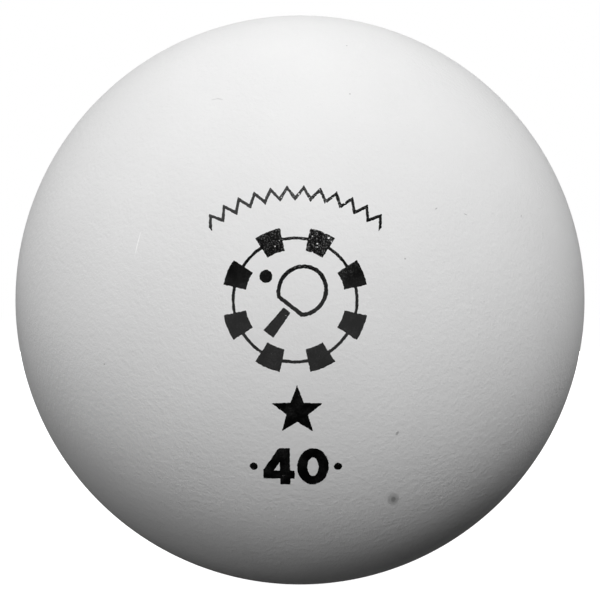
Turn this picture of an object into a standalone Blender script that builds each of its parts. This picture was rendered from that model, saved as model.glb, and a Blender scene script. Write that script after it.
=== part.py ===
"""A seamed table tennis ball of the 40+ plastic class.

It is two moulded half shells, a ring of weld that bonds them, and a stamp of printing ink.
Metres, +Z up. The origin is the ball's centre, the seam lies in the XZ plane, and the stamp's
centre is at the front pole, on the -Y side.
"""

import math

import bmesh
import bpy
from mathutils import Vector

MM = 0.001

# Ball
BALL_DIAMETER = 40.3 * MM
WALL = 0.5 * MM
OUTSIDE = BALL_DIAMETER / 2
INSIDE = OUTSIDE - WALL

# Seam: the front shell has a lip that reaches into the rear shell, and weld fills the joint
WELD_THICKNESS = 0.06 * MM
FACE_GAP = 0.02 * MM
JOINT_HALF = WELD_THICKNESS / 2 + FACE_GAP
LIP_THICKNESS = 0.3 * MM
LIP_LENGTH = 1.0 * MM
LIP_ROOT = 1.4 * MM
LEAD_IN = 0.12 * MM
LAP_END = 1.6 * MM
BEAD_LENGTH = 0.3 * MM
BEAD_HEIGHT = 0.25 * MM
WELD_BELOW_SURFACE = 0.02 * MM
WELD_OUTSIDE = INSIDE - FACE_GAP
WELD_INSIDE = WELD_OUTSIDE - WELD_THICKNESS
LIP_OUTSIDE = WELD_INSIDE - FACE_GAP
LIP_INSIDE = LIP_OUTSIDE - LIP_THICKNESS

# Fineness of the turned shapes
SEGMENTS = 60
RINGS = 15
MERGE = 0.001 * MM

# Stamp. Its places are distances along the surface from the front pole: across, then up
INK_THICKNESS = 0.04 * MM
INK_INSIDE = OUTSIDE + FACE_GAP
INK_GRID = 0.8 * MM
CURVE_ERROR = 0.015 * MM
ARCH_CENTRE = (0, -2.1 * MM)
ARCH_RADIUS = 9.05 * MM
ARCH_HALF_ANGLE = math.radians(39.5)
ARCH_TEETH = 12
ARCH_WAVE = 0.38 * MM
ARCH_STROKE = 0.175 * MM
RING_RADIUS = 3.95 * MM
RING_LINE = 0.2 * MM
RING_BLOCKS = 8
BLOCK_HEIGHT = 1.5 * MM
BLOCK_HALF_ANGLE = math.radians(10.5)
BAT_TILT = math.radians(-38)
BAT_LINE = 0.26 * MM
BLADE_CENTRE = 0.75 * MM
BLADE_HALF_WIDTH = 1.6 * MM
BLADE_HALF_LENGTH = 1.7 * MM
BLADE_CUT = -0.6 * MM
HANDLE_TOP = -0.8 * MM
HANDLE_END = -2.75 * MM
HANDLE_TOP_HALF_WIDTH = 0.28 * MM
HANDLE_END_HALF_WIDTH = 0.4 * MM
DOT_PLACE = (-1.85 * MM, 1.5 * MM)
DOT_RADIUS = 0.42 * MM
STAR_PLACE = (0.12 * MM, -7.25 * MM)
STAR_POINTS = 5
STAR_RADIUS = 1.76 * MM
STAR_WAIST = 0.42
DIGIT_HEIGHT = 2.88 * MM
DIGIT_WIDTH = 2.15 * MM
DIGIT_LINE = 0.7 * MM
DIGIT_GAP = 0.18 * MM
DIGIT_MIDDLE = -11.35 * MM
FOUR_STEM_IN = 0.3 * MM
FOUR_BAR_UP = 0.48 * MM
FOUR_BAR_LINE = 0.66 * MM
FOUR_TOP_LEFT = 0.05 * MM
FOUR_HOLE_TOP = 1.08 * MM
FOUR_HOLE_LEFT = 0.73 * MM
SIDE_DOT_RADIUS = 0.28 * MM
SIDE_DOT_GAP = 0.36 * MM


def clear_scene():
    for thing in list(bpy.data.objects):
        bpy.data.objects.remove(thing, do_unlink=True)


def plain_material(name, colour, roughness):
    material = bpy.data.materials.new(name)
    material.use_nodes = True
    shader = material.node_tree.nodes["Principled BSDF"]
    shader.inputs["Base Color"].default_value = (*colour, 1)
    shader.inputs["Roughness"].default_value = roughness
    shader.inputs["Metallic"].default_value = 0
    return material


def add_object(name, shape, material, ball):
    """Turns a bmesh into a named object of the ball."""
    bmesh.ops.recalc_face_normals(shape, faces=shape.faces)
    mesh = bpy.data.meshes.new(name)
    shape.to_mesh(mesh)
    shape.free()
    mesh.shade_smooth()
    mesh.set_sharp_from_angle(angle=math.radians(30))
    mesh.materials.append(material)
    made = bpy.data.objects.new(name, mesh)
    bpy.context.scene.collection.objects.link(made)
    made.parent = ball
    return made


# Half shells and weld


def at_depth(radius, along):
    """The profile point (y, distance from the Y axis) of a sphere's surface at this y."""
    return along, math.sqrt(radius**2 - along**2)


def arc(radius, start, side):
    """Profile points from y = side * start to the pole on that side, both ends included."""
    first = math.asin(start / radius)
    step = (math.pi / 2 - first) / RINGS
    angles = [first + step * index for index in range(RINGS)]
    points = [(side * radius * math.sin(angle), radius * math.cos(angle)) for angle in angles]
    return [*points, (side * radius, 0)]


def turned(profile, closed):
    """A shape turned about the Y axis from (y, distance from the axis) points."""
    shape = bmesh.new()
    points = [shape.verts.new((distance, along, 0)) for along, distance in profile]
    pairs = list(zip(points, points[1:]))
    if closed:
        pairs.append((points[-1], points[0]))
    edges = [shape.edges.new(pair) for pair in pairs]
    bmesh.ops.spin(shape, geom=points + edges, axis=(0, 1, 0), angle=math.tau, steps=SEGMENTS)
    bmesh.ops.remove_doubles(shape, verts=shape.verts, dist=MERGE)
    return shape


def front_half_shell(material, ball):
    """The stamped half: its rim carries the lip that reaches into the rear half."""
    outer = arc(OUTSIDE, LAP_END, -1)
    inner = arc(INSIDE, LAP_END, -1)
    rim = [
        at_depth(OUTSIDE, -JOINT_HALF),
        at_depth(LIP_OUTSIDE, -JOINT_HALF),
        at_depth(LIP_OUTSIDE, LIP_LENGTH - LEAD_IN),
        at_depth(LIP_OUTSIDE - LEAD_IN, LIP_LENGTH),
        at_depth(LIP_INSIDE, LIP_LENGTH),
        at_depth(LIP_INSIDE, -LIP_ROOT / 2),
    ]
    profile = [*reversed(outer), *rim, *inner]
    return add_object("front_half_shell", turned(profile, False), material, ball)


def rear_half_shell(material, ball):
    """The plain half: its inner wall slides over the front half's lip."""
    outer = arc(OUTSIDE, LAP_END, 1)
    inner = arc(INSIDE, LAP_END, 1)
    rim = [at_depth(OUTSIDE, JOINT_HALF), at_depth(INSIDE, JOINT_HALF), at_depth(INSIDE, LIP_LENGTH)]
    profile = [*reversed(outer), *rim, *inner]
    return add_object("rear_half_shell", turned(profile, False), material, ball)


def seam_weld(material, ball):
    """The bond: a butt ring between the rims, a film over the lip and a bead past its end."""
    half = WELD_THICKNESS / 2
    bead_start = LIP_LENGTH + FACE_GAP
    profile = [
        at_depth(OUTSIDE - WELD_BELOW_SURFACE, -half),
        at_depth(OUTSIDE - WELD_BELOW_SURFACE, half),
        at_depth(WELD_OUTSIDE, half),
        at_depth(WELD_OUTSIDE, LIP_LENGTH),
        at_depth(WELD_OUTSIDE, bead_start + BEAD_LENGTH),
        at_depth(WELD_OUTSIDE - BEAD_HEIGHT, bead_start),
        at_depth(WELD_INSIDE - LEAD_IN, bead_start),
        at_depth(WELD_INSIDE, LIP_LENGTH - LEAD_IN),
        at_depth(WELD_INSIDE, -half),
    ]
    return add_object("seam_weld", turned(profile, True), material, ball)


# Stamp


def on_ball(across, up, radius):
    """The place at these distances along the ball's surface from the front pole."""
    away = math.hypot(across, up)
    if away == 0:
        return Vector((0, -radius, 0))
    angle = away / OUTSIDE
    sideways = radius * math.sin(angle) / away
    return Vector((across * sideways, -radius * math.cos(angle), up * sideways))


def flat_film(outlines):
    """A flat triangulated film in millimetres, cut along a grid. Loops after the first are holes."""
    shape = bmesh.new()
    edges = []
    for outline in outlines:
        points = [shape.verts.new((across / MM, up / MM, 0)) for across, up in outline]
        pairs = zip(points, [*points[1:], points[0]])
        edges += [shape.edges.new(pair) for pair in pairs]
    bmesh.ops.triangle_fill(shape, edges=edges, use_beauty=True, normal=(0, 0, 1))
    for axis in (0, 1):
        places = [vertex.co[axis] for vertex in shape.verts]
        step = INK_GRID / MM
        for line in range(math.ceil(min(places) / step), math.floor(max(places) / step) + 1):
            direction = Vector((axis == 0, axis == 1, 0))
            everything = [*shape.verts, *shape.edges, *shape.faces]
            bmesh.ops.bisect_plane(
                shape, geom=everything, dist=MERGE / MM, plane_co=direction * line * step, plane_no=direction
            )
    bmesh.ops.triangulate(shape, faces=shape.faces)
    return shape


def ink_mark(name, outlines, material, ball):
    """One island of ink: the outlines' film laid on the ball and given its thickness."""
    shape = flat_film(outlines)
    for vertex in shape.verts:
        vertex.co = on_ball(vertex.co.x * MM, vertex.co.y * MM, INK_INSIDE)
    grown = bmesh.ops.extrude_face_region(shape, geom=shape.faces[:])["geom"]
    for vertex in grown:
        if isinstance(vertex, bmesh.types.BMVert):
            vertex.co *= 1 + INK_THICKNESS / INK_INSIDE
    return add_object(name, shape, material, ball)


def turn_step(radius):
    """The largest turn that keeps a chord of this circle within the curve error."""
    return 2 * math.acos(1 - CURVE_ERROR / radius)


def ellipse(centre, half_width, half_height):
    points = math.ceil(math.tau / turn_step(max(half_width, half_height)))
    angles = [math.tau * index / points for index in range(points)]
    return [(centre[0] + half_width * math.cos(a), centre[1] + half_height * math.sin(a)) for a in angles]


def fan(centre, radius, half_angle):
    """Points on an arc about the upward direction, from left to right."""
    steps = math.ceil(2 * half_angle / turn_step(radius))
    angles = [half_angle * (2 * index / steps - 1) for index in range(steps + 1)]
    return [(centre[0] + radius * math.sin(a), centre[1] + radius * math.cos(a)) for a in angles]


def tilted(outline, angle):
    """The outline turned about the front pole."""
    cosine, sine = math.cos(angle), math.sin(angle)
    return [(across * cosine - up * sine, across * sine + up * cosine) for across, up in outline]


def arch_outlines():
    """One zigzag stroke bent into an arch."""
    middle = [ARCH_HALF_ANGLE * (index / ARCH_TEETH - 1) for index in range(2 * ARCH_TEETH + 1)]
    edges = []
    for side in (1, -1):
        edge = []
        for index, angle in enumerate(middle):
            wave = ARCH_WAVE if index % 2 else -ARCH_WAVE
            away = ARCH_RADIUS + wave + side * ARCH_STROKE
            edge.append((ARCH_CENTRE[0] + away * math.sin(angle), ARCH_CENTRE[1] + away * math.cos(angle)))
        edges.append(edge)
    return [[*edges[0], *reversed(edges[1])]]


def stepped_circle(between, at_block):
    """A circle that steps to another radius over each of the ring's blocks."""
    outline = []
    gap_half_angle = math.pi / RING_BLOCKS - BLOCK_HALF_ANGLE
    for index in range(RING_BLOCKS):
        turn = math.tau * (index + 0.5) / RING_BLOCKS
        block = fan((0, 0), at_block, BLOCK_HALF_ANGLE)
        gap = fan((0, 0), between, gap_half_angle)
        outline += tilted(block, -turn)
        outline += tilted(gap, -turn - math.pi / RING_BLOCKS)
    return outline


def ring_outlines():
    """A thin ring that carries a circle of blocks."""
    outlines = []
    for side in (1, -1):
        between = RING_RADIUS + side * RING_LINE / 2
        at_block = RING_RADIUS + side * BLOCK_HEIGHT / 2
        outlines.append(stepped_circle(between, at_block))
    return outlines


def blade_outlines():
    """The bat's blade: an oval cut straight across above the handle, drawn as an outline."""
    outlines = []
    for line in (0, BAT_LINE):
        half_width = BLADE_HALF_WIDTH - line
        half_length = BLADE_HALF_LENGTH - line
        first = math.asin((BLADE_CUT + line - BLADE_CENTRE) / half_length)
        steps = math.ceil((math.pi - 2 * first) / turn_step(half_length))
        angles = [first + (math.pi - 2 * first) * index / steps for index in range(steps + 1)]
        oval = [(half_width * math.cos(a), BLADE_CENTRE + half_length * math.sin(a)) for a in angles]
        outlines.append(tilted(oval, BAT_TILT))
    return outlines


def handle_outlines():
    outline = [
        (-HANDLE_TOP_HALF_WIDTH, HANDLE_TOP),
        (-HANDLE_END_HALF_WIDTH, HANDLE_END),
        (HANDLE_END_HALF_WIDTH, HANDLE_END),
        (HANDLE_TOP_HALF_WIDTH, HANDLE_TOP),
    ]
    return [tilted(outline, BAT_TILT)]


def star_outlines():
    outline = []
    for index in range(2 * STAR_POINTS):
        radius = STAR_RADIUS * (STAR_WAIST if index % 2 else 1)
        angle = math.pi * index / STAR_POINTS
        outline.append((STAR_PLACE[0] + radius * math.sin(angle), STAR_PLACE[1] + radius * math.cos(angle)))
    return [outline]


def four_outlines():
    """A plain figure 4 with a closed triangle, left of the stamp's middle line."""
    right = -DIGIT_GAP / 2
    left = right - DIGIT_WIDTH
    low = DIGIT_MIDDLE - DIGIT_HEIGHT / 2
    high = low + DIGIT_HEIGHT
    bar_low = low + FOUR_BAR_UP
    bar_high = bar_low + FOUR_BAR_LINE
    stem_right = right - FOUR_STEM_IN
    stem_left = stem_right - DIGIT_LINE
    outside = [
        (stem_left, low),
        (stem_right, low),
        (stem_right, bar_low),
        (right, bar_low),
        (right, bar_high),
        (stem_right, bar_high),
        (stem_right, high),
        (stem_left - FOUR_TOP_LEFT, high),
        (left, bar_high),
        (left, bar_low),
        (stem_left, bar_low),
    ]
    hole = [(left + FOUR_HOLE_LEFT, bar_high), (stem_left, bar_high), (stem_left, high - FOUR_HOLE_TOP)]
    return [outside, hole]


def nought_outlines():
    """A plain oval 0, right of the stamp's middle line."""
    centre = ((DIGIT_GAP + DIGIT_WIDTH) / 2, DIGIT_MIDDLE)
    outlines = []
    for line in (0, DIGIT_LINE):
        outlines.append(ellipse(centre, DIGIT_WIDTH / 2 - line, DIGIT_HEIGHT / 2 - line))
    return outlines


def side_dot_outlines(side):
    """A dot beside the digits, on the side -1 or 1."""
    away = DIGIT_GAP / 2 + DIGIT_WIDTH + SIDE_DOT_GAP + SIDE_DOT_RADIUS
    return [ellipse((side * away, DIGIT_MIDDLE), SIDE_DOT_RADIUS, SIDE_DOT_RADIUS)]


def stamp(material, ball):
    """Every island of ink, by name."""
    marks = {
        "ink_zigzag_arch": arch_outlines(),
        "ink_block_ring": ring_outlines(),
        "ink_bat_blade": blade_outlines(),
        "ink_bat_handle": handle_outlines(),
        "ink_ball_dot": [ellipse(DOT_PLACE, DOT_RADIUS, DOT_RADIUS)],
        "ink_star": star_outlines(),
        "ink_digit_4": four_outlines(),
        "ink_digit_0": nought_outlines(),
        "ink_left_dot": side_dot_outlines(-1),
        "ink_right_dot": side_dot_outlines(1),
    }
    for name, outlines in marks.items():
        ink_mark(name, outlines, material, ball)


def main():
    clear_scene()
    plastic = plain_material("white_plastic", (0.86, 0.86, 0.86), 0.55)
    weld = plain_material("weld", (0.8, 0.8, 0.78), 0.4)
    ink = plain_material("ink", (0.02, 0.02, 0.02), 0.5)
    ball = bpy.data.objects.new("ball", None)
    bpy.context.scene.collection.objects.link(ball)
    front_half_shell(plastic, ball)
    rear_half_shell(plastic, ball)
    seam_weld(weld, ball)
    stamp(ink, ball)


main()
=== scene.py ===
import math

import bpy
import numpy as np
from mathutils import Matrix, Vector, noise


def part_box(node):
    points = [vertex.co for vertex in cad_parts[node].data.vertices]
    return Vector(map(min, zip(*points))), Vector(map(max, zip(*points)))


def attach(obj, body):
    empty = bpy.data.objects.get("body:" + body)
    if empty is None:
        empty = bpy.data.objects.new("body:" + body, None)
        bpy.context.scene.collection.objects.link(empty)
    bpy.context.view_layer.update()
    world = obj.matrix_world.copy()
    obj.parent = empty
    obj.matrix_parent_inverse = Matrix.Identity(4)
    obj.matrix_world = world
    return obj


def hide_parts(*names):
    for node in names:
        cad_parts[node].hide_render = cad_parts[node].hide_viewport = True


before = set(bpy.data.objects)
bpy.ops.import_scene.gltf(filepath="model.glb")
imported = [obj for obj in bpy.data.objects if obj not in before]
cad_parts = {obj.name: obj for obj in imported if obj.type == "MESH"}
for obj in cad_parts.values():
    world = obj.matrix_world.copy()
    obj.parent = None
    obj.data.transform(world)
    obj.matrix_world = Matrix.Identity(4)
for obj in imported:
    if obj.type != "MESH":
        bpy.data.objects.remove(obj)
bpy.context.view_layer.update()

MM = 0.001
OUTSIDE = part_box("rear_half_shell")[1].z
WALL = 0.5 * MM


# ---------------------------------------------------------------- camera

FOCAL_LENGTH = 150
SENSOR = 36
CLIP_START, CLIP_END = 0.01, 10
# The share of the frame's width that the ball's outline spans
SILHOUETTE_SHARE = 0.9487
CAMERA_TURN = math.radians(0.9)


def make_camera():
    """Level with the ball's centre, at the distance where the ball nearly fills the frame."""
    data = bpy.data.cameras.new("camera")
    data.lens = FOCAL_LENGTH
    data.sensor_width = SENSOR
    data.clip_start = CLIP_START
    data.clip_end = CLIP_END
    half_angle = math.atan(SILHOUETTE_SHARE * SENSOR / 2 / FOCAL_LENGTH)
    distance = OUTSIDE / math.sin(half_angle)
    camera = bpy.data.objects.new("camera", data)
    camera.location = (distance * math.sin(CAMERA_TURN), -distance * math.cos(CAMERA_TURN), 0)
    camera.rotation_euler = (math.pi / 2, 0, CAMERA_TURN)
    bpy.context.scene.collection.objects.link(camera)
    bpy.context.scene.camera = camera


# ---------------------------------------------------------------- node helpers


class Nodes:
    """A short way to make a material's nodes."""

    def __init__(self, name):
        self.material = bpy.data.materials.new(name)
        self.material.use_nodes = True
        self.tree = self.material.node_tree
        self.shader = self.tree.nodes["Principled BSDF"]

    def link(self, source, target):
        self.tree.links.new(source, target)

    def add(self, kind, settings=None, inputs=None):
        node = self.tree.nodes.new(kind)
        for key, value in (settings or {}).items():
            setattr(node, key, value)
        for key, value in (inputs or {}).items():
            if isinstance(value, bpy.types.NodeSocket):
                self.link(value, node.inputs[key])
            else:
                node.inputs[key].default_value = value
        return node

    def math(self, operation, first, second):
        return self.add("ShaderNodeMath", {"operation": operation}, {0: first, 1: second}).outputs[0]

    def multiply(self, first, second):
        return self.math("MULTIPLY", first, second)

    def plus(self, first, second):
        return self.math("ADD", first, second)

    def remap(self, value, low, high, to_low, to_high):
        settings = {"interpolation_type": "SMOOTHSTEP"}
        inputs = {0: value, 1: low, 2: high, 3: to_low, 4: to_high}
        return self.add("ShaderNodeMapRange", settings, inputs).outputs[0]

    def millimetres(self):
        place = self.add("ShaderNodeTexCoord").outputs["Object"]
        settings = {"operation": "SCALE"}
        return self.add("ShaderNodeVectorMath", settings, {0: place, "Scale": 1 / MM}).outputs[0]

    def grey(self, value):
        """Sets the shader's base colour to this grey."""
        colour = self.add("ShaderNodeCombineColor", None, {0: value, 1: value, 2: value})
        self.link(colour.outputs[0], self.shader.inputs["Base Color"])

    def set(self, socket, value):
        """Links or sets one of the shader's sockets."""
        if isinstance(value, bpy.types.NodeSocket):
            self.link(value, self.shader.inputs[socket])
        else:
            self.shader.inputs[socket].default_value = value

    def noise(self, place, size, detail, roughness=0.5):
        inputs = {"Vector": place, "Scale": 1 / size, "Detail": detail, "Roughness": roughness}
        return self.add("ShaderNodeTexNoise", None, inputs).outputs["Fac"]

    def bump(self, height, distance, normal=None):
        inputs = {"Height": height, "Distance": distance, "Strength": 1.0}
        if normal is not None:
            inputs["Normal"] = normal
        return self.add("ShaderNodeBump", None, inputs).outputs["Normal"]


# ---------------------------------------------------------------- surfaces

# A noise's usual range, which the looks below are spread over
LOW, HIGH = 0.3, 0.7

# The plastic: sizes and heights in millimetres
WHITE = 0.8
TONE_SIZE = 5.0
TONE_CHANGE = 0.008
GRAIN_SIZE = 0.16
GRAIN_HEIGHT = 0.017
PEBBLE_SIZE = 0.42
PEBBLE_HEIGHT = 0.036
PLASTIC_ROUGHNESS = (0.45, 0.65)
PLASTIC_SPECULAR = 0.2
PLASTIC_DIFFUSE_ROUGHNESS = 0.2

WELD_RIPPLE_SIZE = 0.4
WELD_RIPPLE_HEIGHT = 0.01
WELD_GREY = (0.66, 0.74)
WELD_ROUGHNESS = (0.3, 0.45)

# The ink: how light it is where the pad left most of it, and how specks change that
INK_GREY = (0.002, 0.012)
BLOTCH_SIZE = 0.9
BLOTCH_RANGE = (0.35, 0.75)
SPECK_SIZE = 0.1
SPECK_HEIGHT = 0.008
SPECK_RANGE = (0.35, 0.7)
SPECK_CHANGE = (0.4, 1.8)
# Light flecks in the ink round the sheen's middle, partly painted glints of the sheen and partly thin
# ink: the noise range they take, and their grey
GLINT_AND_THIN_INK_RANGE = (0.5, 0.75)
GLINT_AND_THIN_INK_GREY = 0.22
# The greyer parts: the low half of the ring, between two heights in millimetres, and the left
# of the arch, above a height and left of a line
LOW_RING_GREY = 0.026
LOW_RING_BEGINS = (-6.0, -4.6)
LOW_RING_ENDS = (-1.5, 2.5)
LEFT_ARCH_GREY = 0.04
LEFT_ARCH_BEGINS = (4.4, 4.9)
LEFT_ARCH_ENDS = (-0.5, 3.5)
INK_ROUGHNESS = (0.5, 0.7)
INK_SPECULAR = 0.12

# The middle of the sheen on the stamp, across and up in millimetres, and how far its effect reaches. The
# ink's light flecks there are partly painted glints of the sheen and partly thin ink, and the pinholes
# of wear gather there too
SHEEN_AND_WEAR_CENTRE = (1.0, 5.4)
SHEEN_AND_WEAR_REACH = 4.6
# Where the light flecks, partly painted glints, fade out: distances in millimetres from the sheen's
# middle
SHEEN_AND_WEAR_FADE = (0.8, SHEEN_AND_WEAR_REACH * 1.2)

# Small marks on the plastic: degrees right of and above the front pole, length and width in
# millimetres, tilt in degrees, then how dark (or, below zero, how light) the mark is
SCUFFS = [
    (24.5, -40.5, 1.15, 0.79, -62, 0.33),
    (24.5, -40.5, 0.5, 0.33, -62, 0.25),
    (21, -25.2, 0.32, 0.18, 70, 0.36),
    (-20.6, 40.8, 0.5, 0.12, 12, 0.14),
    (-19.2, 40.8, 0.5, 0.12, -18, 0.14),
    (13.5, 42, 0.12, 0.1, 0, 0.4),
    (18, 58, 0.12, 0.1, 0, 0.4),
    (28, 17, 0.22, 0.07, 30, 0.35),
    (34.5, 16, 0.26, 0.07, -20, 0.35),
    (50, 16, 0.24, 0.08, 60, 0.35),
    (-31, 10.5, 1.5, 0.07, 80, -0.2),
    (-13, -17.5, 1.1, 0.06, -40, -0.1),
    (-39.5, -12, 0.14, 0.1, 0, 0.4),
    (20.5, 7.5, 0.12, 0.1, 0, 0.4),
    (15.5, -35.5, 1.3, 0.08, -35, 0.1),
]

# A mark fades between these squared distances from its middle, counted in its half sizes
SCUFF_FADE = (0.25, 1.6)


def mark_frame(right, up, tilt):
    """The mark's centre on the unit sphere, and its own two directions along the surface."""
    a, e, t = math.radians(right), math.radians(up), math.radians(tilt)
    centre = Vector((math.sin(a) * math.cos(e), -math.cos(a) * math.cos(e), math.sin(e)))
    east = Vector((math.cos(a), math.sin(a), 0))
    north = centre.cross(east) * -1
    if north.z < 0:
        north = -north
    along = east * math.cos(t) + north * math.sin(t)
    across = north * math.cos(t) - east * math.sin(t)
    return centre, along, across


def scuff_mask(nodes, place, right, up, length, width, tilt):
    """1 in the middle of the mark, falling softly to 0 at its edge."""
    centre, along, across = mark_frame(right, up, tilt)
    total = None
    for direction, half_size in ((along, length / 2), (across, width / 2)):
        axis = direction / half_size
        dot = nodes.add("ShaderNodeVectorMath", {"operation": "DOT_PRODUCT"}, {0: place, 1: axis})
        offset = centre.dot(axis) * OUTSIDE / MM
        squared = nodes.math("POWER", nodes.math("SUBTRACT", dot.outputs["Value"], offset), 2.0)
        total = squared if total is None else nodes.plus(total, squared)
    return nodes.remap(total, *SCUFF_FADE, 1.0, 0.0)


def plastic():
    """Matt white plastic with a very fine moulded grain and, on the front, a few small marks."""
    nodes = Nodes("ball_plastic")
    place = nodes.millimetres()
    broad = nodes.noise(place, TONE_SIZE, detail=3.0)
    grain = nodes.noise(place, GRAIN_SIZE, detail=2.0, roughness=0.6)
    pebble = nodes.noise(place, PEBBLE_SIZE, detail=3.0, roughness=0.6)
    tone = nodes.remap(broad, LOW, HIGH, -TONE_CHANGE, TONE_CHANGE)
    depth = nodes.add("ShaderNodeSeparateXYZ", None, {0: place}).outputs["Y"]
    front = nodes.math("LESS_THAN", depth, 0.0)
    for right, up, length, width, tilt, strength in SCUFFS:
        mask = scuff_mask(nodes, place, right, up, length, width, tilt)
        mark = nodes.multiply(nodes.multiply(mask, front), strength * WHITE)
        tone = nodes.math("SUBTRACT", tone, mark)
    nodes.grey(nodes.plus(tone, WHITE))
    nodes.set("Roughness", nodes.remap(grain, LOW, HIGH, *PLASTIC_ROUGHNESS))
    nodes.set("Specular IOR Level", PLASTIC_SPECULAR)
    nodes.set("Diffuse Roughness", PLASTIC_DIFFUSE_ROUGHNESS)
    normal = nodes.bump(pebble, PEBBLE_HEIGHT * MM)
    nodes.set("Normal", nodes.bump(grain, GRAIN_HEIGHT * MM, normal))
    return nodes.material


def weld_material():
    """Slightly glossy grey-white plastic, rippled where it set."""
    nodes = Nodes("weld_plastic")
    ripple = nodes.noise(nodes.millimetres(), WELD_RIPPLE_SIZE, detail=3.0)
    nodes.grey(nodes.remap(ripple, LOW, HIGH, *WELD_GREY))
    nodes.set("Roughness", nodes.remap(ripple, LOW, HIGH, *WELD_ROUGHNESS))
    nodes.set("Normal", nodes.bump(ripple, WELD_RIPPLE_HEIGHT * MM))
    return nodes.material


def ink_material():
    """Near-black stamping ink: greyer where the pad left less of it, and with light flecks round the
    sheen's middle that are partly painted glints and partly thin ink.
    """
    nodes = Nodes("stamp_ink")
    place = nodes.millimetres()
    split = nodes.add("ShaderNodeSeparateXYZ", None, {0: place})
    across, up = split.outputs["X"], split.outputs["Z"]
    blotch = nodes.noise(place, BLOTCH_SIZE, detail=3.0, roughness=0.6)
    speck = nodes.noise(place, SPECK_SIZE, detail=2.0, roughness=0.6)
    centre = nodes.add("ShaderNodeCombineXYZ", None, {0: SHEEN_AND_WEAR_CENTRE[0], 1: -OUTSIDE / MM, 2: SHEEN_AND_WEAR_CENTRE[1]})
    span = {0: place, 1: centre.outputs[0]}
    away = nodes.add("ShaderNodeVectorMath", {"operation": "DISTANCE"}, span).outputs["Value"]
    sheen_and_wear = nodes.remap(away, *SHEEN_AND_WEAR_FADE, 1.0, 0.0)
    low_ring = nodes.multiply(
        nodes.remap(up, *LOW_RING_BEGINS, 0.0, LOW_RING_GREY),
        nodes.remap(up, *LOW_RING_ENDS, 1.0, 0.0),
    )
    left_arch = nodes.multiply(
        nodes.remap(up, *LEFT_ARCH_BEGINS, 0.0, LEFT_ARCH_GREY),
        nodes.remap(across, *LEFT_ARCH_ENDS, 1.0, 0.0),
    )
    uneven_ink = nodes.multiply(
        nodes.remap(blotch, *BLOTCH_RANGE, *INK_GREY),
        nodes.remap(speck, *SPECK_RANGE, *SPECK_CHANGE),
    )
    # Light flecks round the sheen's middle: partly painted glints of the sheen, partly thin ink
    glint_and_thin_ink_flecks = nodes.multiply(nodes.remap(speck, *GLINT_AND_THIN_INK_RANGE, 0.0, GLINT_AND_THIN_INK_GREY), sheen_and_wear)
    thin = nodes.plus(nodes.plus(low_ring, left_arch), uneven_ink)
    nodes.grey(nodes.plus(thin, glint_and_thin_ink_flecks))
    nodes.set("Roughness", nodes.remap(speck, LOW, HIGH, *INK_ROUGHNESS))
    nodes.set("Specular IOR Level", INK_SPECULAR)
    nodes.set("Normal", nodes.bump(speck, SPECK_HEIGHT * MM))
    return nodes.material


# ---------------------------------------------------------------- shells and weld

SEGMENTS = 288
OUTER_RINGS = 120
INNER_RINGS = 48
RIM_GAP = 0.035 * MM
RIM_ROUND = 0.05 * MM
RIM_STEPS = 4
LIP_LENGTH = 1.0 * MM
LIP_THICKNESS = 0.3 * MM
LIP_CLEARANCE = 0.1 * MM
LIP_ROOT = 1.6 * MM
LIP_BEVEL_START = 0.85
LIP_BEVEL_DEPTH = 0.35
SHELL_SHARP = math.radians(40)
ON_AXIS = 1e-9

# The weld's crown, and its film and bead as shares of the lip's clearance and length
WELD_SUNK = 0.018 * MM
WELD_CROWN = 0.004 * MM
WELD_WIDTH = 0.9
WELD_FILM_OVER = 0.2
WELD_FILM_UNDER = 0.8
WELD_FILM_END = 0.9
WELD_BEAD_START = 1.04
WELD_BEAD_END = 1.3

# The outside's slight unevenness: waves over the unit sphere, how much each octave fades, how
# much finer it is, how many there are, and the depth of the waves
WAVES = 2.3
WAVE_OCTAVES = (0.9, 2.0, 3)
WAVE_DEPTH = 0.003 * MM


def uneven(direction):
    """How far the moulded surface lies under the true sphere in this direction."""
    wave = noise.fractal(direction * WAVES, *WAVE_OCTAVES)
    return WAVE_DEPTH * (1 + max(-1, min(1, wave)))


def turned_mesh(name, profile, closed):
    """A mesh turned about Y from (y, distance from the axis) points. Poles are single points."""
    points, rings = [], []
    for along, away in profile:
        if away < ON_AXIS:
            rings.append([len(points)])
            points.append((0, along, 0))
            continue
        rings.append(list(range(len(points), len(points) + SEGMENTS)))
        turns = [math.tau * index / SEGMENTS for index in range(SEGMENTS)]
        points += [(away * math.cos(turn), along, away * math.sin(turn)) for turn in turns]
    faces = []
    for first, second in zip(rings, [*rings[1:], rings[0]] if closed else rings[1:]):
        for index in range(SEGMENTS):
            after = (index + 1) % SEGMENTS
            corners = [first[index % len(first)], first[after % len(first)]]
            corners += [second[after % len(second)], second[index % len(second)]]
            faces.append(tuple(dict.fromkeys(corners)))
    mesh = bpy.data.meshes.new(name)
    mesh.from_pydata(points, [], faces)
    mesh.validate()
    return mesh


def sphere_arc(radius, start, side, rings):
    """Profile points from y = side * start to the pole on that side."""
    first = math.asin(start / radius)
    angles = [first + (math.pi / 2 - first) * index / rings for index in range(rings)]
    arc = [(side * radius * math.sin(angle), radius * math.cos(angle)) for angle in angles]
    return [*arc, (side * radius, 0)]


def rounded_rim(radius, side):
    """The rim's outer corner, from the sphere round to the seam face."""
    centre_along = RIM_GAP + RIM_ROUND
    centre_away = math.sqrt(radius**2 - centre_along**2) - RIM_ROUND
    corner = []
    for index in range(RIM_STEPS + 1):
        turn = math.pi / 2 * index / RIM_STEPS
        along = centre_along - RIM_ROUND * math.sin(turn)
        corner.append((side * along, centre_away + RIM_ROUND * math.cos(turn)))
    return corner


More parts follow.
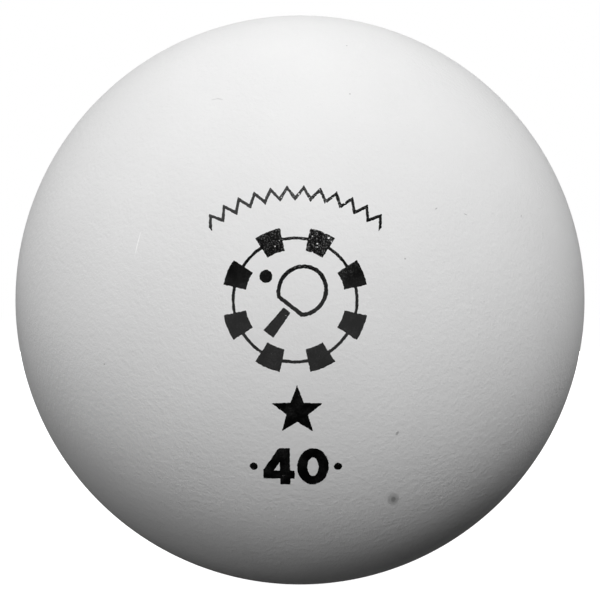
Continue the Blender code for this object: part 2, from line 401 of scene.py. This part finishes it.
def press_in(mesh):
    """Gives the outside its slight unevenness."""
    for vertex in mesh.vertices:
        if vertex.co.length > OUTSIDE - WALL / 2:
            direction = vertex.co.normalized()
            vertex.co -= direction * uneven(direction)


def add_piece(name, mesh, sharp, material, slot, *nodes):
    """A smooth piece, sharp at edges over that angle, that stands for these CAD nodes."""
    mesh.set_sharp_from_angle(angle=sharp)
    for polygon in mesh.polygons:
        polygon.use_smooth = True
    piece = bpy.data.objects.new(name, mesh)
    bpy.context.scene.collection.objects.link(piece)
    mesh.materials.append(material)
    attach(piece, "root")
    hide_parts(*nodes)


def make_shells(material):
    inside = OUTSIDE - WALL
    lip_outside = inside - LIP_CLEARANCE
    lip_inside = lip_outside - LIP_THICKNESS
    outer_start = RIM_GAP + RIM_ROUND * 2.5
    lip = [
        (-RIM_GAP, lip_outside),
        (LIP_LENGTH * LIP_BEVEL_START, lip_outside),
        (LIP_LENGTH, lip_outside - LIP_THICKNESS * LIP_BEVEL_DEPTH),
        (LIP_LENGTH, lip_inside),
        (-LIP_ROOT / 2, lip_inside),
    ]
    for name, side, rim_inside, inner_start in (
        ("front", -1, lip, LIP_ROOT),
        ("rear", 1, [(RIM_GAP, inside)], LIP_LENGTH),
    ):
        outer = reversed(sphere_arc(OUTSIDE, outer_start, side, OUTER_RINGS))
        inner = sphere_arc(inside, inner_start, side, INNER_RINGS)
        profile = [*outer, *rounded_rim(OUTSIDE, side), *rim_inside, *inner]
        mesh = turned_mesh(name + "_shell", profile, False)
        press_in(mesh)
        add_piece(name + "_shell", mesh, SHELL_SHARP, material, "white_plastic", name + "_half_shell")


def make_weld(material):
    inside = OUTSIDE - WALL
    top = OUTSIDE - WELD_SUNK
    film = inside - LIP_CLEARANCE * WELD_FILM_OVER
    under = inside - LIP_CLEARANCE * WELD_FILM_UNDER
    half = RIM_GAP * WELD_WIDTH
    profile = [
        (-half, top - WELD_CROWN),
        (0, top),
        (half, top - WELD_CROWN),
        (half, film),
        (LIP_LENGTH, film),
        (LIP_LENGTH * WELD_BEAD_END, film),
        (LIP_LENGTH * WELD_BEAD_START, film - LIP_THICKNESS),
        (LIP_LENGTH * WELD_BEAD_START, under - LIP_THICKNESS * LIP_BEVEL_DEPTH),
        (LIP_LENGTH * WELD_FILM_END, under),
        (-half, under),
    ]
    mesh = turned_mesh("weld_ring", profile, True)
    add_piece("weld_ring", mesh, SHELL_SHARP, material, "weld", "seam_weld")


# ---------------------------------------------------------------- stamp

# Sizes are in millimetres along the surface, and places are across and up from the front pole.
# The film's heights, INK_TOP, INK_RIM and INK_SUNK, are in metres
INK_CELL = 0.055
INK_MARGIN = 3 * INK_CELL
INK_EDGE = 0.03
INK_SHARP = math.radians(50)
# A cut point stays this share of an edge away from the edge's ends, so no face is a sliver
LEAST_SHARE = 0.08
ON_OUTLINE = 1e-6
# The noises that roughen the outline: size in millimetres, place in the noise, and weight
FINE_EDGE = (0.13, 3.7, 1.1)
BROAD_EDGE = (0.45, 9.1, 0.5)
PINHOLES = (0.15, 21.3, 0.3)
PINHOLE_LEVEL = 0.75
PINHOLE_WEAR = 0.4
INK_TOP = 0.014 * MM
INK_RIM = 0.002 * MM
INK_SUNK = 0.02 * MM
INK_SHOULDER = 0.07

ARCH_CENTRE = (0, -2.1)
ARCH_RADIUS = 9.05
ARCH_HALF_ANGLE = math.radians(39.5)
ARCH_TEETH = 12
ARCH_WAVE = 0.38
ARCH_STROKE = 0.175
RING_RADIUS = 3.95
RING_LINE = 0.2
RING_BLOCKS = 8
BLOCK_HEIGHT = 1.5
BLOCK_HALF_ANGLE = math.radians(10.5)
BAT_TILT = math.radians(-38)
BAT_LINE = 0.26
BLADE_CENTRE = 0.75
BLADE_HALF_WIDTH = 1.6
BLADE_HALF_LENGTH = 1.7
BLADE_CUT = -0.6
HANDLE = [(-0.28, -0.8), (-0.4, -2.75), (0.4, -2.75), (0.28, -0.8)]
DOT_PLACE = (-1.85, 1.5)
DOT_RADIUS = 0.42
STAR_PLACE = (0.12, -7.25)
STAR_RADIUS = 1.76
STAR_WAIST = 0.42
DIGIT_HEIGHT = 2.88
DIGIT_WIDTH = 2.15
DIGIT_LINE = 0.7
DIGIT_GAP = 0.18
DIGIT_MIDDLE = -11.35
FOUR_STEM_IN = 0.3
FOUR_BAR_UP = 0.48
FOUR_BAR_LINE = 0.66
FOUR_TOP_LEFT = 0.05
FOUR_HOLE_TOP = 1.08
FOUR_HOLE_LEFT = 0.73
SIDE_DOT_RADIUS = 0.28
SIDE_DOT_GAP = 0.36
CURVE_POINTS = 96


def ellipse(centre, half_width, half_height):
    turns = np.arange(CURVE_POINTS) * math.tau / CURVE_POINTS
    return np.column_stack([half_width * np.cos(turns), half_height * np.sin(turns)]) + centre


def fan(radius, half_angle):
    """An arc round the middle, as far each side of straight up."""
    turns = np.linspace(-half_angle, half_angle, CURVE_POINTS // 2 + 1)
    return radius * np.column_stack([np.sin(turns), np.cos(turns)])


def tilted(outline, angle):
    cosine, sine = math.cos(angle), math.sin(angle)
    return np.asarray(outline, float) @ np.array([[cosine, sine], [-sine, cosine]])


def arch_outlines():
    """One zigzag stroke bent into an arch."""
    middle = ARCH_HALF_ANGLE * (np.arange(2 * ARCH_TEETH + 1) / ARCH_TEETH - 1)
    away = ARCH_RADIUS + ARCH_WAVE * np.where(np.arange(len(middle)) % 2, 1, -1)
    edges = []
    for reach in (away + ARCH_STROKE, away - ARCH_STROKE):
        edges.append(np.column_stack([reach * np.sin(middle), reach * np.cos(middle)]) + ARCH_CENTRE)
    return [np.vstack([edges[0], edges[1][::-1]])]


def stepped_circle(between, at_block):
    """A circle that steps to another radius over each of the ring's blocks."""
    pieces = []
    gap_half_angle = math.pi / RING_BLOCKS - BLOCK_HALF_ANGLE
    for index in range(RING_BLOCKS):
        turn = math.tau * (index + 0.5) / RING_BLOCKS
        pieces.append(tilted(fan(at_block, BLOCK_HALF_ANGLE), -turn))
        pieces.append(tilted(fan(between, gap_half_angle), -turn - math.pi / RING_BLOCKS))
    return np.vstack(pieces)


def ring_outlines():
    """A thin ring that carries a circle of blocks."""
    outlines = []
    for side in (1, -1):
        between = RING_RADIUS + side * RING_LINE / 2
        outlines.append(stepped_circle(between, RING_RADIUS + side * BLOCK_HEIGHT / 2))
    return outlines


def blade_outlines():
    """The bat's blade: an oval cut straight across above the handle, drawn as an outline."""
    outlines = []
    for line in (0, BAT_LINE):
        oval = ellipse((0, BLADE_CENTRE), BLADE_HALF_WIDTH - line, BLADE_HALF_LENGTH - line)
        oval[:, 1] = np.maximum(oval[:, 1], BLADE_CUT + line)
        outlines.append(tilted(oval, BAT_TILT))
    return outlines


def star_outlines():
    """A plain five-pointed star."""
    turns = np.arange(10) * math.pi / 5
    reach = STAR_RADIUS * np.where(np.arange(10) % 2, STAR_WAIST, 1)
    return [np.column_stack([reach * np.sin(turns), reach * np.cos(turns)]) + STAR_PLACE]


def four_outlines():
    right = -DIGIT_GAP / 2
    left = right - DIGIT_WIDTH
    low = DIGIT_MIDDLE - DIGIT_HEIGHT / 2
    high = low + DIGIT_HEIGHT
    bar_low = low + FOUR_BAR_UP
    bar_high = bar_low + FOUR_BAR_LINE
    stem_right = right - FOUR_STEM_IN
    stem_left = stem_right - DIGIT_LINE
    outside = [
        (stem_left, low),
        (stem_right, low),
        (stem_right, bar_low),
        (right, bar_low),
        (right, bar_high),
        (stem_right, bar_high),
        (stem_right, high),
        (stem_left - FOUR_TOP_LEFT, high),
        (left, bar_high),
        (left, bar_low),
        (stem_left, bar_low),
    ]
    hole = [
        (left + FOUR_HOLE_LEFT, bar_high),
        (stem_left, bar_high),
        (stem_left, high - FOUR_HOLE_TOP),
    ]
    return [np.array(outside), np.array(hole)]


def nought_outlines():
    centre = ((DIGIT_GAP + DIGIT_WIDTH) / 2, DIGIT_MIDDLE)
    half_width, half_height = DIGIT_WIDTH / 2, DIGIT_HEIGHT / 2
    return [ellipse(centre, half_width - line, half_height - line) for line in (0, DIGIT_LINE)]


def side_dot_outlines(side):
    away = DIGIT_GAP / 2 + DIGIT_WIDTH + SIDE_DOT_GAP + SIDE_DOT_RADIUS
    return [ellipse((side * away, DIGIT_MIDDLE), SIDE_DOT_RADIUS, SIDE_DOT_RADIUS)]


def signed_distance(points, outlines):
    """Distance in millimetres to the outlines, below zero inside, by the even-odd rule."""
    nearest = np.full(len(points), np.inf)
    inside = np.zeros(len(points), bool)
    for outline in outlines:
        for start, end in zip(outline, np.roll(outline, -1, axis=0)):
            edge = end - start
            squared = edge @ edge
            if squared == 0:
                continue
            offset = points - start
            share = np.clip(offset @ edge / squared, 0, 1)
            nearest = np.minimum(nearest, np.linalg.norm(offset - share[:, None] * edge, axis=1))
            crosses = (start[1] > points[:, 1]) != (end[1] > points[:, 1])
            if start[1] != end[1]:
                reach = start[0] + (points[:, 1] - start[1]) * edge[0] / edge[1]
                inside ^= crosses & (points[:, 0] < reach)
    return np.where(inside, -nearest, nearest)


def flat_noise(point, size, level):
    return noise.noise(Vector((point[0] / size, point[1] / size, level)))


def roughened(points, distance):
    """Makes the outline uneven and opens pinholes of wear round the sheen's middle, as a pad prints on
    grainy plastic.
    """
    made = distance.copy()
    for index in np.flatnonzero(distance < 3 * INK_EDGE):
        point = points[index]
        for size, level, weight in (FINE_EDGE, BROAD_EDGE):
            made[index] += INK_EDGE * weight * flat_noise(point, size, level)
        sheen_and_wear = max(0, 1 - math.hypot(point[0] - SHEEN_AND_WEAR_CENTRE[0], point[1] - SHEEN_AND_WEAR_CENTRE[1]) / SHEEN_AND_WEAR_REACH)
        size, level, weight = PINHOLES
        hole = flat_noise(point, size, level) - PINHOLE_LEVEL + PINHOLE_WEAR * sheen_and_wear
        made[index] = max(made[index], weight * hole)
    return made


def on_ball(across, up, rise):
    """The place at these millimetres along the surface from the front pole, and this rise."""
    away = math.hypot(across, up)
    turn = away * MM / OUTSIDE
    sideways = math.sin(turn) / away if away else 0
    direction = Vector((across * sideways, -math.cos(turn), up * sideways))
    return direction * (OUTSIDE - uneven(direction) + rise)


def ink_mesh(name, outlines):
    """A closed film of ink, cut from a fine triangle grid by the roughened outline."""
    everything = np.vstack(outlines)
    low = everything.min(0) - INK_MARGIN
    high = everything.max(0) + INK_MARGIN
    columns, rows = np.ceil((high - low) / INK_CELL).astype(int) + 1
    cells = [(i + 0.5 * (j % 2), j) for j in range(rows) for i in range(columns)]
    grid = low + INK_CELL * np.array(cells)
    values = roughened(grid, signed_distance(grid, outlines))
    values[values == 0] = ON_OUTLINE
    triangles = []
    for j in range(rows - 1):
        for i in range(columns - 1):
            a, b = j * columns + i, j * columns + i + 1
            c, d = a + columns, b + columns
            triangles += [(a, b, c), (b, d, c)] if j % 2 == 0 else [(a, b, d), (a, d, c)]
    film, places, depths, faces = {}, [], [], []

    def corner(index):
        if index not in film:
            film[index] = len(places)
            places.append(grid[index])
            depths.append(-values[index])
        return film[index]

    def crossing(first, second):
        key = (min(first, second), max(first, second))
        if key not in film:
            one, two = key
            share = values[one] / (values[one] - values[two])
            share = min(1 - LEAST_SHARE, max(LEAST_SHARE, share))
            film[key] = len(places)
            places.append(grid[one] + share * (grid[two] - grid[one]))
            depths.append(0.0)
        return film[key]

    for triangle in triangles:
        signs = [values[index] < 0 for index in triangle]
        if not any(signs):
            continue
        loop = []
        for k in range(3):
            here, after = triangle[k], triangle[(k + 1) % 3]
            if signs[k]:
                loop.append(corner(here))
            if signs[k] != signs[(k + 1) % 3]:
                loop.append(crossing(here, after))
        faces.append(tuple(loop))
    count = len(places)
    points = []
    for (across, up), depth in zip(places, depths):
        share = min(1, depth / INK_SHOULDER)
        points.append(on_ball(across, up, INK_RIM + (INK_TOP - INK_RIM) * share * (2 - share)))
    points += [on_ball(across, up, -INK_SUNK) for across, up in places]
    edges = {}
    for face in faces:
        for k, start in enumerate(face):
            edges[(start, face[(k + 1) % len(face)])] = True
    rim = [(start, end) for start, end in edges if (end, start) not in edges]
    walls = [(end, start, start + count, end + count) for start, end in rim]
    under = [tuple(index + count for index in reversed(face)) for face in faces]
    mesh = bpy.data.meshes.new(name)
    mesh.from_pydata(points, [], [*faces, *under, *walls])
    mesh.validate()
    return mesh


def make_stamp(material):
    marks = {
        "zigzag_arch": arch_outlines(),
        "block_ring": ring_outlines(),
        "bat_blade": blade_outlines(),
        "bat_handle": [tilted(HANDLE, BAT_TILT)],
        "ball_dot": [ellipse(DOT_PLACE, DOT_RADIUS, DOT_RADIUS)],
        "star": star_outlines(),
        "digit_4": four_outlines(),
        "digit_0": nought_outlines(),
        "left_dot": side_dot_outlines(-1),
        "right_dot": side_dot_outlines(1),
    }
    for name, outlines in marks.items():
        mesh = ink_mesh("printed_" + name, outlines)
        add_piece("printed_" + name, mesh, INK_SHARP, material, "ink", "ink_" + name)


# ---------------------------------------------------------------- stage

FLOOR_REACH = 3.0
FLOOR_GREY = 0.3
FLOOR_ROUGHNESS = 0.9


def make_floor():
    """Plain and pale, under the ball. It glows white, and casts no light or shadow on the ball."""
    mesh = bpy.data.meshes.new("floor")
    corners = [(x * FLOOR_REACH, y * FLOOR_REACH) for x, y in ((-1, -1), (1, -1), (1, 1), (-1, 1))]
    mesh.from_pydata([(x, y, -OUTSIDE) for x, y in corners], [], [(0, 1, 2, 3)])
    floor = bpy.data.objects.new("floor", mesh)
    bpy.context.scene.collection.objects.link(floor)
    nodes = Nodes("pale_floor")
    nodes.set("Base Color", (FLOOR_GREY, FLOOR_GREY, FLOOR_GREY, 1))
    nodes.set("Roughness", FLOOR_ROUGHNESS)
    nodes.set("Emission Color", (1, 1, 1, 1))
    nodes.set("Emission Strength", 1.0)
    mesh.materials.append(nodes.material)
    floor.visible_diffuse = False
    floor.visible_glossy = False
    floor.visible_shadow = False


# Softboxes: degrees right of and above the front, distance and size in metres, watts, and
# whether the light shows as a sheen. The two keys match, and so do the two lights of each pair
KEY_WATTS = 2.35
SIDE_WATTS = 0.6
REAR_SIDE_WATTS = 0.3
LIGHTS = {
    "key_left": (-15, 15, 0.8, 0.25, KEY_WATTS, False),
    "key_right": (10, 30, 0.8, 0.25, KEY_WATTS, False),
    "upper": (5, 40, 0.8, 0.1, 0.8, True),
    "left": (-80, 45, 0.5, 0.4, SIDE_WATTS, True),
    "right": (80, 45, 0.5, 0.4, SIDE_WATTS, True),
    "low_right": (40, -30, 0.5, 0.4, 0.1, False),
    "rear_left": (-120, 30, 0.5, 0.4, REAR_SIDE_WATTS, True),
    "rear_right": (120, 30, 0.5, 0.4, REAR_SIDE_WATTS, True),
    "rear_top": (180, 60, 0.5, 0.4, 0.5, True),
    "rear_key": (180, 0, 0.8, 0.25, 3.0, True),
    "rear_low": (180, -25, 0.5, 0.4, 0.1, True),
}


def make_lights():
    for name, (right, up, distance, size, watts, sheen) in LIGHTS.items():
        data = bpy.data.lights.new(name, "AREA")
        data.shape = "DISK"
        data.size = size
        data.energy = watts
        turn, rise = math.radians(right), math.radians(up)
        way = Vector((math.sin(turn) * math.cos(rise), -math.cos(turn) * math.cos(rise), math.sin(rise)))
        light = bpy.data.objects.new(name, data)
        light.location = way * distance
        light.rotation_euler = (-way).to_track_quat("-Z", "Y").to_euler()
        light.visible_glossy = sheen
        bpy.context.scene.collection.objects.link(light)


def make_world():
    """White behind everything, for the camera only."""
    world = bpy.data.worlds.new("studio")
    world.use_nodes = True
    tree = world.node_tree
    background = tree.nodes["Background"]
    background.inputs["Color"].default_value = (1, 1, 1, 1)
    path = tree.nodes.new("ShaderNodeLightPath")
    tree.links.new(path.outputs["Is Camera Ray"], background.inputs["Strength"])
    bpy.context.scene.world = world


def main():
    scene = bpy.context.scene
    scene.view_settings.view_transform = "Standard"
    make_camera()
    white = plastic()
    make_shells(white)
    make_weld(weld_material())
    make_stamp(ink_material())
    make_floor()
    make_lights()
    make_world()


main()
